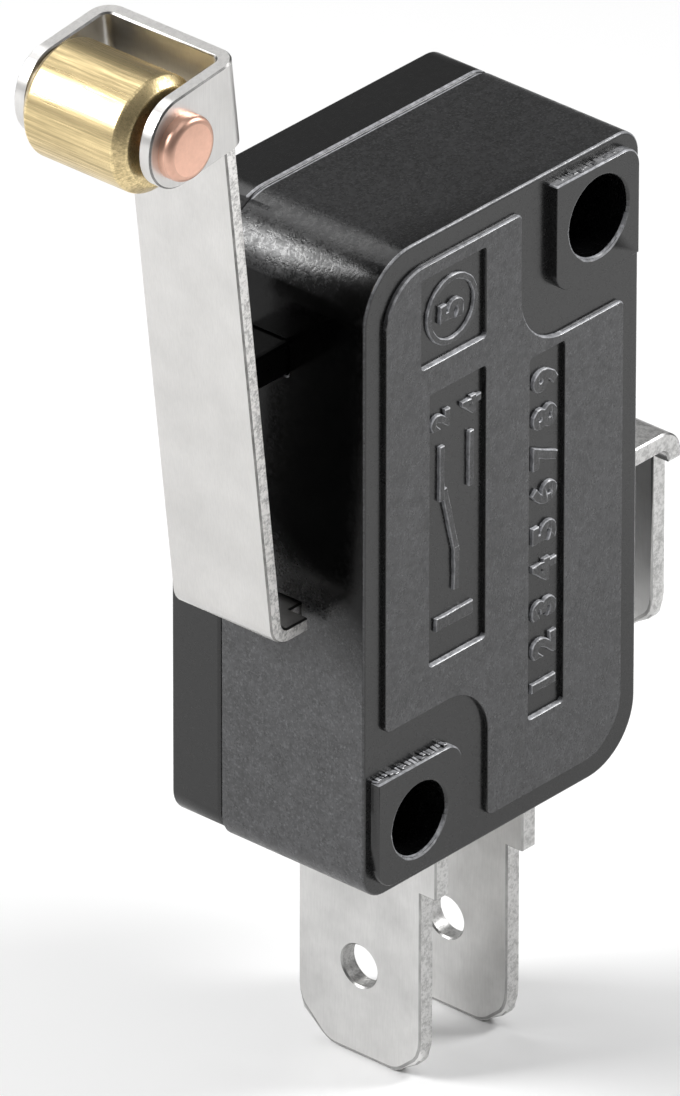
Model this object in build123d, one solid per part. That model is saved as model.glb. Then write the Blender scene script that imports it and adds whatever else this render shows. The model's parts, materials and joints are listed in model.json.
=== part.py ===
from build123d import *
import os
from math import asin, cos, radians, sin, sqrt, tan

# A snap-action micro switch with a roller lever and three push-on tabs, in millimetres.
# The origin is on the axis of the lower mounting hole, in the plane of the back face.
# +Z runs along the long side away from the tabs, -Y looks out of the moulded front, and
# the lever lies on the -X side.

# Body: case and cover
body_width = 15.9
body_length = 27.8
body_thickness = 9.9
cover_thickness = 2.5
wall = 1.3
large_corner = 2.7
small_corner = 1.2
cavity_corner = 0.6
edge_round = 0.12
parting_round = 0.12
cover_end_step = 0.18
hole_pitch_x = 10.3
hole_pitch_z = 22.2
lower_hole_diameter = 3.1
upper_hole_diameter = 3.4
hole_rim_chamfer = 0.08
pillar_wall = 1.0

# Moulded relief on the front
boss_height = 0.42
boss_width = 4.85
boss_length = 4.75
boss_inset_x = 0.42
boss_inset_z = 0.54
boss_corner = 0.9
panel_height = 0.2
panel_inset = 1.03
panel_corner = 2.2
panel_cut_x = 7.0
panel_cut_z = 7.2
panel_cut_corner = 2.4
panel_point_round = 0.3
field_round = 0.15
top_field = (3.1, 6.8, 22.3, 26.15)
middle_field = (3.6, 6.8, 9.1, 21.0)
side_field = (9.4, 11.4, 4.3, 20.2)

# Pins of the case that hold the cover
cover_pin_diameter = 1.4
cover_pin_inset = 1.9
cover_pin_wall = 0.5
pin_head_diameter = 2.1
pin_head_depth = 0.5
pin_clearance = 0.03

# Terminals, cut from one sheet
sheet = 0.8
tab_width = 6.3
root_width = 7.1
tab_tip_width = 3.9
tab_tip_length = 1.7
tab_bevel = 0.15
tab_hole_diameter = 1.8
tab_hole_from_tip = 4.1
first_tab_from_face = 5.8
tab_pitch = 5.1
shoulder_below_body = 2.9
tip_below_body = 11.4
blade_above_bottom = 8.4
slot_clearance = 0.05
guide_height = 1.5
common_leaf_top = 12.3
common_standoff = 4.3
common_shoulder = 10.9
common_tip = 2.8
common_inner_radius = 0.4
common_wall_gap = 0.6
common_bend_margin = 0.01

# Contacts
fixed_contact_diameter = 3.2
fixed_contact_height = 0.7
moving_contact_diameter = 2.8
moving_contact_height = 0.75
contact_dome = 8.0
contact_shank_diameter = 1.4
contact_tail_diameter = 2.2
contact_tail_height = 0.3
contact_above_bottom = 5.6
contact_clearance = 0.04
rivet_clearance = 0.02

# Plunger
plunger_above_bottom = 22.6
plunger_width = 2.1
plunger_height = 1.5
plunger_corner = 0.2
plunger_taper_length = 1.35
plunger_taper_drop = 0.22
plunger_clearance = 0.06
plunger_flange_diameter = 3.8
plunger_flange = 0.9
plunger_nose_diameter = 2.4
plunger_tip_dome = 2.2
plunger_nose_dome = 3.0
guide_boss_wall = 0.85
guide_boss_length = 1.3
flange_clearance = 0.1
touch_clearance = 0.04

# Snap mechanism, heights taken from the plunger
arm_sheet = 0.4
arm_width = 4.4
arm_tail = 1.7
window_width = 2.5
ear_reach = 1.1
arm_pivot_below_plunger = 4.1
arm_ear_length = 0.7
trip_sheet = 0.5
trip_pivot_below_plunger = 7.9
trip_pivot_offset = 0.95
trip_plate_offset = 0.65
trip_crank_below_plunger = 4.0
trip_plate_below_plunger = 2.7
trip_above_plunger = 1.3
trip_ear_length = 0.5
pivot_clearance = 0.04
bracket_sheet = 0.7
bracket_gap = 0.4
bracket_nose = 0.65
bracket_above_arm_pivot = 1.4
bracket_below_trip_pivot = 0.9
bracket_throat = 1.0
bracket_rivet_diameter = 1.4
bracket_rivet_head = 2.4
bracket_rivet_height = 0.35
bracket_rivet_pitch = 3.2

# Snap spring
wire = 0.26
wire_sides = 6
coil_diameter = 1.9
coil_turns = 9
hook_bar = 0.4
arm_hook_radius = 0.5
trip_hook_radius = 0.62
arm_hook_above_bottom = 7.9
trip_hook_below_plunger = 1.8
coil_from_arm_hook = 1.5
coil_from_trip_hook = 3.6
hook_hole_width = 0.8
hook_hole_height = 0.7

# Roller lever, one piece of bent sheet
lever_sheet = 0.6
lever_width = 5.1
lever_lean = 6.8
lever_length = 26.95
lever_knee_radius = 0.7
knee_standoff = 2.25
lever_above_bottom = 11.75
pivot_depth = 0.6
toe_depth = 1.6
neck_width = 3.2
neck_from_face = 0.5
toe_width = 5.0
toe_length = 0.6
toe_clearance = 0.15
head_width = 6.1
head_length = 4.05
head_bend_radius = 0.35
pin_from_strip = 3.1

# Roller and its pin
roller_diameter = 4.8
roller_side_clearance = 0.1
roller_chamfer = 0.35
roller_bore_clearance = 0.05
roller_pin_diameter = 1.5
roller_pin_head_diameter = 3.1
roller_pin_head_height = 0.6
roller_pin_tail_diameter = 2.4
roller_pin_tail_height = 0.4
roller_pin_chamfer = 0.2

# Faces and centre lines that follow from the sizes above
lever_face = -(body_width - hole_pitch_x) / 2
common_face = lever_face + body_width
bottom = -(body_length - hole_pitch_z) / 2
top = bottom + body_length
front = -body_thickness
parting = -cover_thickness
middle = -body_thickness / 2
floor_inside = front + wall
cover_inside = -wall
root_front = middle - root_width / 2
root_back = middle + root_width / 2
reach = 2 * body_length

first_blade = lever_face + first_tab_from_face
second_blade = first_blade + tab_pitch
contact_z = bottom + contact_above_bottom
closed_contact_face = first_blade + sheet + fixed_contact_height
open_contact_face = second_blade - fixed_contact_height
arm_x = closed_contact_face + contact_clearance + moving_contact_height + arm_sheet / 2

plunger_z = bottom + plunger_above_bottom
arm_pivot_z = plunger_z - arm_pivot_below_plunger
trip_pivot_x = arm_x + trip_pivot_offset
trip_pivot_z = plunger_z - trip_pivot_below_plunger
trip_plate_x = arm_x - trip_plate_offset
arm_hook_z = bottom + arm_hook_above_bottom
trip_hook_z = plunger_z - trip_hook_below_plunger
ear_half = arm_width / 2 + ear_reach
cheek_inner_half = arm_width / 2 + bracket_gap
upright_x = common_face - wall - common_wall_gap - sheet
bracket_low = trip_pivot_z - bracket_below_trip_pivot
bracket_high = arm_pivot_z + bracket_above_arm_pivot

knee_x = lever_face - knee_standoff
lever_pivot_x = lever_face + pivot_depth
lever_z = bottom + lever_above_bottom
lean = radians(lever_lean)
strip_up = Vector(-sin(lean), 0, cos(lean))
strip_out = Vector(-cos(lean), 0, -sin(lean))
strip_start = Vector(knee_x, middle, lever_z)
head_start = strip_start + strip_up * (lever_length - head_length)
roller_axis = head_start + strip_up * (head_length / 2) + strip_out * (lever_sheet / 2 + pin_from_strip)


def block(x0, x1, y0, y1, z0, z1):
    """Box between two corners."""
    size = Box(x1 - x0, y1 - y0, z1 - z0, align=(Align.MIN, Align.MIN, Align.MIN))
    return Pos(x0, y0, z0) * size


def rod_x(x0, x1, y, z, radius):
    """Round bar along X."""
    bar = Cylinder(radius, x1 - x0, align=(Align.CENTER, Align.CENTER, Align.MIN))
    return Pos(x0, y, z) * Rot(0, 90, 0) * bar


def rod_y(y0, y1, x, z, radius):
    """Round bar along Y."""
    bar = Cylinder(radius, y1 - y0, align=(Align.CENTER, Align.CENTER, Align.MIN))
    return Pos(x, y0, z) * Rot(-90, 0, 0) * bar


def prism_y(face, y0, y1):
    """Outline drawn in X and Z, given depth from y0 to y1."""
    return extrude(Plane.XZ.offset(-y1) * face, amount=y1 - y0)


def prism_x(face, x0, x1):
    """Outline drawn in Y and Z, given depth from x0 to x1."""
    return extrude(Plane.YZ.offset(x0) * face, amount=x1 - x0)


def oblong(x0, x1, z0, z1):
    """Plain rectangle between two corners of an outline."""
    return Pos((x0 + x1) / 2, (z0 + z1) / 2) * Rectangle(x1 - x0, z1 - z0)


def corners_at(face, x, z):
    """The corner of an outline nearest to a point."""
    return min(face.vertices(), key=lambda v: (v.X - x) ** 2 + (v.Y - z) ** 2)


def dome(apex, way, radius, sphere):
    """Arc of a turned profile from the tip on its axis out to the rim; way is where it points."""
    angle = asin(radius / sphere)
    points = [(apex - way * sphere * (1 - cos(a)), sphere * sin(a)) for a in (0, angle / 2, angle)]
    return ThreePointArc(*points)


def body_outline(low_edge):
    """Outline of case or cover, with its two large and two small rounded corners."""
    face = oblong(lever_face, common_face, low_edge, top)
    for x, z in ((lever_face, top), (common_face, low_edge)):
        face = fillet(corners_at(face, x, z), large_corner)
    for x, z in ((lever_face, low_edge), (common_face, top)):
        face = fillet(corners_at(face, x, z), small_corner)
    return face


def cavity_outline():
    """Inside of the walls, less the pillars round the holes and the corners with pins."""
    face = oblong(lever_face + wall, common_face - wall, bottom + wall, top - wall)
    face = fillet(face.vertices(), cavity_corner)
    low_pillar = lower_hole_diameter / 2 + pillar_wall
    high_pillar = upper_hole_diameter / 2 + pillar_wall
    face -= Circle(low_pillar)
    face -= oblong(lever_face, 0, bottom, low_pillar) + oblong(lever_face, low_pillar, bottom, 0)
    face -= Pos(hole_pitch_x, hole_pitch_z) * Circle(high_pillar)
    face -= oblong(hole_pitch_x, common_face, hole_pitch_z - high_pillar, top)
    face -= oblong(hole_pitch_x - high_pillar, common_face, hole_pitch_z, top)
    for x, z in cover_pin_places():
        face -= Pos(x, z) * Circle(cover_pin_diameter / 2 + cover_pin_wall)
    return face


def cover_pin_places():
    """Centres of the two pins, in the corners without mounting holes."""
    return [(lever_face + cover_pin_inset, top - cover_pin_inset),
            (common_face - cover_pin_inset, bottom + cover_pin_inset)]


def mounting_holes():
    """The two holes through case and cover."""
    low = rod_y(-reach, reach, 0, 0, lower_hole_diameter / 2)
    high = rod_y(-reach, reach, hole_pitch_x, hole_pitch_z, upper_hole_diameter / 2)
    return low + high


def hole_rims():
    """Conical lead-in of the two mounting holes at the face of their pads."""
    face = front - boss_height
    rims = []
    for x, z, diameter in ((0, 0, lower_hole_diameter), (hole_pitch_x, hole_pitch_z, upper_hole_diameter)):
        cone = Cone(diameter / 2 + hole_rim_chamfer, diameter / 2, hole_rim_chamfer,
                    align=(Align.CENTER, Align.CENTER, Align.MIN))
        rims.append(Pos(x, face, z) * Rot(-90, 0, 0) * cone)
    return rims


def terminal_slots(y0, y1):
    """Openings in the end wall and the side wall that the terminals pass through."""
    slots = []
    for x in (first_blade, second_blade):
        slots.append(block(x - slot_clearance, x + sheet + slot_clearance, y0, y1,
                           bottom - wall, bottom + wall + 2 * guide_height))
    leaf_top = bottom + common_leaf_top
    slots.append(block(common_face - 2 * wall, common_face + wall, y0, y1,
                       leaf_top - sheet - slot_clearance, leaf_top + slot_clearance))
    return slots


def guide_block(y0, y1):
    """Thickened stretch of the end wall that holds both contact blades."""
    x0 = first_blade - wall
    x1 = second_blade + sheet + wall
    return block(x0, x1, y0, y1, bottom + wall / 2, bottom + wall + guide_height)


def panel_outline():
    """Raised field of the front: a rounded rectangle with two opposite corners cut away."""
    x0, x1 = lever_face + panel_inset, common_face - panel_inset
    z0, z1 = bottom + panel_inset, top - panel_inset
    face = oblong(x0, x1, z0, z1)
    for x, z in ((x0, z1), (x1, z0)):
        face = fillet(corners_at(face, x, z), panel_corner)
    low_x, low_z = lever_face + panel_cut_x, bottom + panel_cut_z
    low_cut = oblong(lever_face - wall, low_x, bottom - wall, low_z)
    low_cut = fillet(corners_at(low_cut, low_x, low_z), panel_cut_corner)
    high_x, high_z = common_face - panel_cut_x, top - panel_cut_z
    high_cut = oblong(high_x, common_face + wall, high_z, top + wall)
    high_cut = fillet(corners_at(high_cut, high_x, high_z), panel_cut_corner)
    face = face - low_cut - high_cut
    for x, z in ((x0, low_z), (low_x, z0), (high_x, z1), (x1, high_z)):
        face = fillet(corners_at(face, x, z), panel_point_round)
    return face


def label_fields():
    """The three sunk rectangles of the raised field, left plain."""
    fields = []
    for x0, x1, z0, z1 in (top_field, middle_field, side_field):
        face = oblong(lever_face + x0, lever_face + x1, bottom + z0, bottom + z1)
        fields.append(fillet(face.vertices(), field_round))
    return fields


def boss_outlines():
    """Raised pads round the two mounting holes, set in a little from the sides of the body."""
    low_x, low_z = lever_face + boss_inset_x, bottom + boss_inset_z
    low = oblong(low_x, low_x + boss_width, low_z, low_z + boss_length)
    high_x, high_z = common_face - boss_inset_x, top - boss_inset_z
    high = oblong(high_x - boss_width, high_x, high_z - boss_length, high_z)
    for x, z in ((low_x, low_z), (low_x + boss_width, low_z + boss_length)):
        low = fillet(corners_at(low, x, z), boss_corner)
    for x, z in ((high_x - boss_width, high_z - boss_length), (high_x, high_z)):
        high = fillet(corners_at(high, x, z), boss_corner)
    return low, high


def plunger_section(clearance):
    """Rounded rectangle across the plunger, in Y and Z, grown by a clearance."""
    section = Rectangle(plunger_width + 2 * clearance, plunger_height + 2 * clearance)
    return Pos(middle, plunger_z) * fillet(section.vertices(), plunger_corner)


def case():
    """Deep moulded shell with front relief, pillars, guides and pins for the cover."""
    solid = prism_y(body_outline(bottom), front, parting)
    solid = fillet(solid.faces().sort_by(Axis.Y)[0].edges(), edge_round)
    solid = chamfer(solid.faces().sort_by(Axis.Y)[-1].edges(), parting_round)
    solid -= prism_y(cavity_outline(), floor_inside, 0)
    solid += guide_block(floor_inside - wall / 2, parting)
    boss_radius = plunger_width / 2 + plunger_clearance + guide_boss_wall
    inner_wall = lever_face + wall
    solid += rod_x(inner_wall - wall / 2, inner_wall + guide_boss_length, middle, plunger_z, boss_radius)
    upright_back = upright_x + sheet + slot_clearance
    rest_top = middle - bracket_rivet_head / 2 - slot_clearance - bracket_gap
    solid += block(upright_back, common_face - wall / 2, floor_inside - wall / 2, rest_top,
                   bracket_low, bracket_high)
    pocket_wall = block(inner_wall - wall / 2, lever_face + toe_depth + toe_clearance + wall / 2,
                        floor_inside - wall / 2, parting, lever_z - 2 * wall, lever_z + 2 * wall)
    solid += pocket_wall
    for slot in terminal_slots(root_front - slot_clearance, 0):
        solid -= slot
    solid -= prism_x(plunger_section(plunger_clearance), lever_face - wall, inner_wall + 2 * guide_boss_length)
    slot_half = lever_sheet / 2 + toe_clearance
    pocket_x = lever_face + toe_depth - toe_length - toe_clearance
    solid -= block(lever_face - wall, pocket_x + toe_clearance, middle - neck_width / 2 - toe_clearance, 0,
                   lever_z - slot_half, lever_z + slot_half)
    solid -= block(pocket_x, lever_face + toe_depth + toe_clearance, middle - toe_width / 2 - toe_clearance, 0,
                   lever_z - slot_half, lever_z + slot_half)
    panel = panel_outline()
    for field in label_fields():
        panel -= field
    solid += prism_y(panel, front - panel_height, front)
    for pad in boss_outlines():
        solid += prism_y(pad, front - boss_height, front)
    solid -= mounting_holes() + hole_rims()
    for x, z in cover_pin_places():
        solid += rod_y(parting - wall, -pin_head_depth, x, z, cover_pin_diameter / 2)
        solid += rod_y(-pin_head_depth, 0, x, z, pin_head_diameter / 2)
    return solid


def cover():
    """Shallow moulded shell that closes the back of the case."""
    solid = prism_y(body_outline(bottom + cover_end_step), parting, 0)
    solid = fillet(solid.faces().sort_by(Axis.Y)[-1].edges(), edge_round)
    solid = chamfer(solid.faces().sort_by(Axis.Y)[0].edges(), parting_round)
    solid -= prism_y(cavity_outline(), parting - wall, cover_inside)
    solid += guide_block(parting, cover_inside + wall / 2)
    for slot in terminal_slots(parting - wall, root_back + slot_clearance):
        solid -= slot
    solid -= mounting_holes()
    for x, z in cover_pin_places():
        solid -= rod_y(parting - wall, wall, x, z, cover_pin_diameter / 2 + pin_clearance)
        solid -= rod_y(-pin_head_depth - pin_clearance, wall, x, z, pin_head_diameter / 2 + pin_clearance)
    return solid


def tab_outline(tip_z, shoulder_z):
    """Push-on tab in Y and Z: tapered tip, locking hole, back edge in line with the root."""
    y1 = root_back
    y0 = y1 - tab_width
    taper = (tab_width - tab_tip_width) / 2
    face = make_face(Polyline([
        (y0, shoulder_z), (y0, tip_z + tab_tip_length), (y0 + taper, tip_z),
        (y1 - taper, tip_z), (y1, tip_z + tab_tip_length), (y1, shoulder_z)], close=True))
    hole = Pos((y0 + y1) / 2, tip_z + tab_hole_from_tip) * Circle(tab_hole_diameter / 2)
    return face - hole


def bevel_tip(blade, tip_z):
    """Coined lead-in on both sides of a tab's tip."""
    low = tip_z + tab_tip_length + tab_bevel
    edges = [e for e in blade.edges() if e.bounding_box().max.Z < low and e.bounding_box().size.X < tab_bevel]
    return chamfer(edges, tab_bevel)


def straight_terminal(x0):
    """Flat blade that carries a fixed contact inside and a tab outside."""
    tip_z = bottom - tip_below_body
    shoulder_z = bottom - shoulder_below_body
    face = oblong(root_front, root_back, shoulder_z, bottom + blade_above_bottom)
    face += tab_outline(tip_z, shoulder_z)
    face -= Pos(middle, contact_z) * Circle(contact_shank_diameter / 2 + rivet_clearance)
    return bevel_tip(prism_x(face, x0, x0 + sheet), tip_z)


def common_terminal():
    """Bent terminal: tab outside, leaf through the side wall, upright for the bracket."""
    tab_x = common_face + common_standoff - sheet
    tip_z = bottom + common_tip
    shoulder_z = bottom + common_shoulder
    leaf_z = bottom + common_leaf_top - sheet / 2
    path = FilletPolyline(
        (tab_x + sheet / 2, middle, shoulder_z), (tab_x + sheet / 2, middle, leaf_z),
        (upright_x + sheet / 2, middle, leaf_z), (upright_x + sheet / 2, middle, bracket_high),
        radius=min(common_inner_radius + sheet / 2, leaf_z - shoulder_z - common_bend_margin))
    start = Plane(origin=path @ 0, x_dir=(0, 1, 0), z_dir=(0, 0, 1))
    solid = sweep(start * Rectangle(root_width, sheet), path=path)
    solid += bevel_tip(prism_x(tab_outline(tip_z, shoulder_z), tab_x, tab_x + sheet), tip_z)
    for z in bracket_rivet_heights():
        solid -= rod_x(upright_x - sheet, upright_x + 2 * sheet, middle, z,
                       bracket_rivet_diameter / 2 + rivet_clearance)
    return solid


def fixed_contact(x_blade, side):
    """Flat-headed contact rivet; side is +1 where it faces +X."""
    near = x_blade + sheet if side > 0 else x_blade
    far = x_blade if side > 0 else x_blade + sheet
    head_end = near + side * fixed_contact_height
    tail_end = far - side * contact_tail_height
    head = rod_x(min(near, head_end), max(near, head_end), middle, contact_z, fixed_contact_diameter / 2)
    face = head.faces().sort_by(Axis.X)[-1 if side > 0 else 0]
    head = chamfer(face.edges(), fixed_contact_height / 4)
    tail = rod_x(min(far, tail_end), max(far, tail_end), middle, contact_z, contact_tail_diameter / 2)
    shank = rod_x(x_blade, x_blade + sheet, middle, contact_z, contact_shank_diameter / 2)
    return head + tail + shank


def moving_contact():
    """Double-headed contact rivet of the arm, domed on both faces."""
    outer = moving_contact_diameter / 2
    shank = contact_shank_diameter / 2
    left, right = arm_x - arm_sheet / 2, arm_x + arm_sheet / 2
    left_dome = dome(left - moving_contact_height, -1, outer, contact_dome)
    right_dome = dome(right + moving_contact_height, 1, outer, contact_dome)
    waist = Polyline([left_dome @ 1, (left, outer), (left, shank), (right, shank), (right, outer), right_dome @ 1])
    half = make_face(left_dome + waist + right_dome + Line(left_dome @ 0, right_dome @ 0))
    return Pos(0, middle, contact_z) * revolve(half, Axis.X)


def contact_arm():
    """Forked strip: contact at its foot, spring in its window, two ears as knife edges."""
    half = arm_width / 2
    foot = contact_z - arm_tail
    strip = oblong(middle - half, middle + half, foot, arm_pivot_z)
    strip = fillet([corners_at(strip, middle - half, foot), corners_at(strip, middle + half, foot)], arm_tail / 2)
    strip += oblong(middle - ear_half, middle + ear_half, arm_pivot_z - arm_ear_length, arm_pivot_z)
    half_window = window_width / 2
    bar_top = arm_hook_z + hook_bar / 2
    strip -= oblong(middle - half_window, middle + half_window, bar_top, arm_pivot_z + wall)
    half_hole = hook_hole_width / 2
    bar_low = arm_hook_z - hook_bar / 2
    strip -= oblong(middle - half_hole, middle + half_hole, bar_low - hook_hole_height, bar_low)
    strip -= Pos(middle, contact_z) * Circle(contact_shank_diameter / 2 + rivet_clearance)
    solid = prism_x(strip, arm_x - arm_sheet / 2, arm_x + arm_sheet / 2)
    for side in (-1, 1):
        y0, y1 = sorted((middle + side * half_window, middle + side * ear_half))
        solid += rod_y(y0, y1, arm_x, arm_pivot_z, arm_sheet / 2)
    return solid


def trip_lever():
    """Cranked strip that the plunger pushes; it carries the upper end of the spring."""
    crank_z = plunger_z - trip_crank_below_plunger
    plate_z = plunger_z - trip_plate_below_plunger
    path = FilletPolyline(
        (trip_pivot_x, middle, trip_pivot_z), (trip_pivot_x, middle, crank_z),
        (trip_plate_x, middle, plate_z), (trip_plate_x, middle, plunger_z + trip_above_plunger),
        radius=trip_sheet)
    start = Plane(origin=path @ 0, x_dir=(0, 1, 0), z_dir=(0, 0, 1))
    solid = sweep(start * Rectangle(arm_width, trip_sheet), path=path)
    half = trip_sheet / 2
    solid += block(trip_pivot_x - half, trip_pivot_x + half, middle - ear_half, middle + ear_half,
                   trip_pivot_z, trip_pivot_z + trip_ear_length)
    solid += rod_y(middle - ear_half, middle + ear_half, trip_pivot_x, trip_pivot_z, half)
    half_window = window_width / 2
    bar_low = trip_hook_z - hook_bar / 2
    solid -= block(trip_plate_x - wall, trip_pivot_x + wall, middle - half_window, middle + half_window,
                   trip_pivot_z - wall, bar_low)
    half_hole = hook_hole_width / 2
    bar_top = trip_hook_z + hook_bar / 2
    solid -= block(trip_plate_x - wall, trip_plate_x + wall, middle - half_hole, middle + half_hole,
                   bar_top, bar_top + hook_hole_height)
    return solid


def bracket_rivet_heights():
    """Heights of the two rivets on the common terminal's upright."""
    mean = (bracket_low + bracket_high) / 2
    return [mean - bracket_rivet_pitch / 2, mean + bracket_rivet_pitch / 2]


def pivot_bracket():
    """Folded bracket whose two cheeks hold the knife edges of the arm and the trip lever."""
    half = cheek_inner_half + bracket_sheet
    section = Pos((arm_x - bracket_nose + upright_x) / 2, middle) * Rectangle(
        upright_x - arm_x + bracket_nose, 2 * half)
    section = fillet([v for v in section.vertices() if v.X > arm_x], bracket_sheet)
    section -= Pos((arm_x - wall + upright_x - bracket_sheet) / 2, middle) * Rectangle(
        upright_x - bracket_sheet - arm_x + wall, 2 * cheek_inner_half)
    channel = extrude(Pos(0, 0, bracket_low) * section, amount=bracket_high - bracket_low)
    throat_x = trip_pivot_x + bracket_throat
    throat_low = trip_pivot_z + trip_ear_length / 2
    throat_high = arm_pivot_z - arm_ear_length / 2
    low_front = trip_pivot_x - bracket_nose
    profile = oblong(low_front, upright_x, bracket_low, bracket_high)
    profile += oblong(arm_x - bracket_nose, upright_x, throat_high, bracket_high)
    profile -= oblong(arm_x - 2 * wall, throat_x, throat_low, throat_high)
    for x, z, radius, way in ((arm_x, arm_pivot_z, arm_sheet / 2, -1),
                              (trip_pivot_x, trip_pivot_z, trip_sheet / 2, 1)):
        seat = radius + pivot_clearance
        profile -= Pos(x, z) * Circle(seat)
        mouth = seat + arm_ear_length / 2
        profile -= make_face(Polyline([
            (x - seat, z), (x + seat, z), (x + mouth, z + way * arm_ear_length),
            (x - mouth, z + way * arm_ear_length)], close=True))
    solid = channel & prism_y(profile, front, 0)
    for z in bracket_rivet_heights():
        solid -= rod_x(upright_x - 2 * bracket_sheet, upright_x + bracket_sheet, middle, z,
                       bracket_rivet_diameter / 2 + rivet_clearance)
    return solid


def bracket_rivets():
    """Two rivets that join the bracket to the common terminal."""
    rivets = []
    inner = upright_x - bracket_sheet
    outer = upright_x + sheet
    for z in bracket_rivet_heights():
        rivet = rod_x(inner, outer, middle, z, bracket_rivet_diameter / 2)
        rivet += rod_x(inner - bracket_rivet_height, inner, middle, z, bracket_rivet_head / 2)
        rivet += rod_x(outer, outer + bracket_rivet_height, middle, z, bracket_rivet_head / 2)
        rivets.append(rivet)
    return Compound(children=rivets)


def snap_spring():
    """Tension coil between the arm and the trip lever, with a hook at each end."""
    low = Vector(arm_x, middle, arm_hook_z)
    high = Vector(trip_plate_x, middle, trip_hook_z)
    axis = (high - low).normalized()
    length = (high - low).length
    frame = Plane(origin=low, x_dir=(0, 1, 0), z_dir=axis)
    radius = (coil_diameter - wire) / 2
    coil_length = length - coil_from_arm_hook - coil_from_trip_hook
    helix = Pos(0, 0, coil_from_arm_hook) * Helix(coil_length / coil_turns, coil_length, radius)
    section = Plane(origin=helix @ 0, z_dir=helix % 0) * RegularPolygon(wire / 2, wire_sides)
    solid = sweep(section, path=helix, is_frenet=True)
    coil_top = coil_from_arm_hook + coil_length
    low_path = FilletPolyline(
        (radius, 0, coil_from_arm_hook), (0, 0, coil_from_arm_hook - radius / 2),
        (0, arm_hook_radius, coil_from_arm_hook - radius), (0, arm_hook_radius, 0), radius=wire)
    low_hook = low_path + ThreePointArc((0, arm_hook_radius, 0), (0, 0, -arm_hook_radius),
                                        (0, -arm_hook_radius, 0))
    high_path = FilletPolyline(
        (radius, 0, coil_top), (0, 0, coil_top + radius / 2),
        (0, -trip_hook_radius, coil_top + radius), (0, -trip_hook_radius, length), radius=wire)
    high_hook = high_path + ThreePointArc((0, -trip_hook_radius, length), (0, 0, length + trip_hook_radius),
                                          (0, trip_hook_radius, length))
    for hook in (low_hook, high_hook):
        start = Plane(origin=hook @ 0, z_dir=hook % 0)
        solid += sweep(start * RegularPolygon(wire / 2, wire_sides), path=hook)
        solid += Pos(hook @ 0) * Sphere(wire / 2)
    return frame.location * solid


def plunger():
    """Flat pin through the case wall: rounded nose outside, collar and round foot inside."""
    strip_face = knee_x + lever_sheet / 2 / cos(lean) - (plunger_z - lever_z) * tan(lean)
    tip = strip_face + (plunger_tip_dome + touch_clearance) / cos(lean) - plunger_tip_dome
    nose = trip_plate_x - trip_sheet / 2 - touch_clearance
    collar = lever_face + wall + guide_boss_length + flange_clearance
    collar_end = collar + plunger_flange
    collar_radius = plunger_flange_diameter / 2
    foot = dome(nose, 1, plunger_nose_diameter / 2, plunger_nose_dome)
    side = Polyline([(collar, 0), (collar, collar_radius), (collar_end, collar_radius),
                     (collar_end, plunger_nose_diameter / 2), foot @ 1])
    half = make_face(side + foot + Line(foot @ 0, (collar, 0)))
    inner = Pos(0, middle, plunger_z) * revolve(half, Axis.X)
    half_tip = plunger_height / 2 - plunger_taper_drop
    tip_edge = tip + plunger_tip_dome - sqrt(plunger_tip_dome ** 2 - half_tip ** 2)
    straight = tip_edge + plunger_taper_length
    low, high = plunger_z - plunger_height / 2, plunger_z + plunger_height / 2
    tip_arc = ThreePointArc((tip_edge, plunger_z - half_tip), (tip, plunger_z), (tip_edge, plunger_z + half_tip))
    upper = TangentArc((straight, high), (tip_edge, plunger_z + half_tip), tangent=(-1, 0))
    lower = TangentArc((straight, low), (tip_edge, plunger_z - half_tip), tangent=(-1, 0))
    back = Polyline([(straight, low), (collar, low), (collar, high), (straight, high)])
    bar = prism_y(make_face(tip_arc + upper + back + lower), middle - plunger_width, middle + plunger_width)
    return inner + (bar & prism_x(plunger_section(0), tip, collar))


def roller_lever():
    """Bent strip with a narrow toe at its foot and two folded ears at its head."""
    toe_x = lever_face + toe_depth
    path = FilletPolyline((toe_x, middle, lever_z), strip_start, head_start, radius=lever_knee_radius)
    start = Plane(origin=path @ 0, x_dir=(0, 1, 0), z_dir=path % 0)
    strip = sweep(start * Rectangle(lever_width, lever_sheet), path=path)
    step_x = toe_x - toe_length
    for side in (-1, 1):
        for x0, x1, width in ((lever_face - neck_from_face, step_x, neck_width), (step_x, toe_x + wall, toe_width)):
            y0, y1 = sorted((middle + side * width / 2, middle + side * reach))
            strip -= block(x0, x1, y0, y1, lever_z - lever_sheet, lever_z + lever_sheet)
    ear = pin_from_strip + lever_sheet / 2
    end_radius = head_length / 2
    local = Plane(origin=head_start, x_dir=strip_out, z_dir=strip_up)
    half = head_width / 2
    outer = make_face(Polyline([(-lever_sheet / 2, -half), (ear + end_radius, -half),
                                (ear + end_radius, half), (-lever_sheet / 2, half)], close=True))
    outer = fillet([v for v in outer.vertices() if v.X < 0], head_bend_radius + lever_sheet)
    inner = make_face(Polyline([(lever_sheet / 2, lever_sheet - half), (ear + 2 * end_radius, lever_sheet - half),
                                (ear + 2 * end_radius, half - lever_sheet),
                                (lever_sheet / 2, half - lever_sheet)], close=True))
    inner = fillet([v for v in inner.vertices() if v.X < ear], head_bend_radius)
    channel = extrude(local * (outer - inner), amount=head_length)
    side_view = Plane(origin=head_start, x_dir=strip_out, z_dir=strip_out.cross(strip_up))
    cheek = Pos(ear / 2 - lever_sheet / 4, end_radius) * Rectangle(ear + lever_sheet / 2, head_length)
    cheek += Pos(ear, end_radius) * Circle(end_radius)
    cheek -= Pos(ear, end_radius) * Circle(roller_pin_diameter / 2 + rivet_clearance)
    head = channel & extrude(side_view * cheek, amount=head_width, both=True)
    return strip + head


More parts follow.
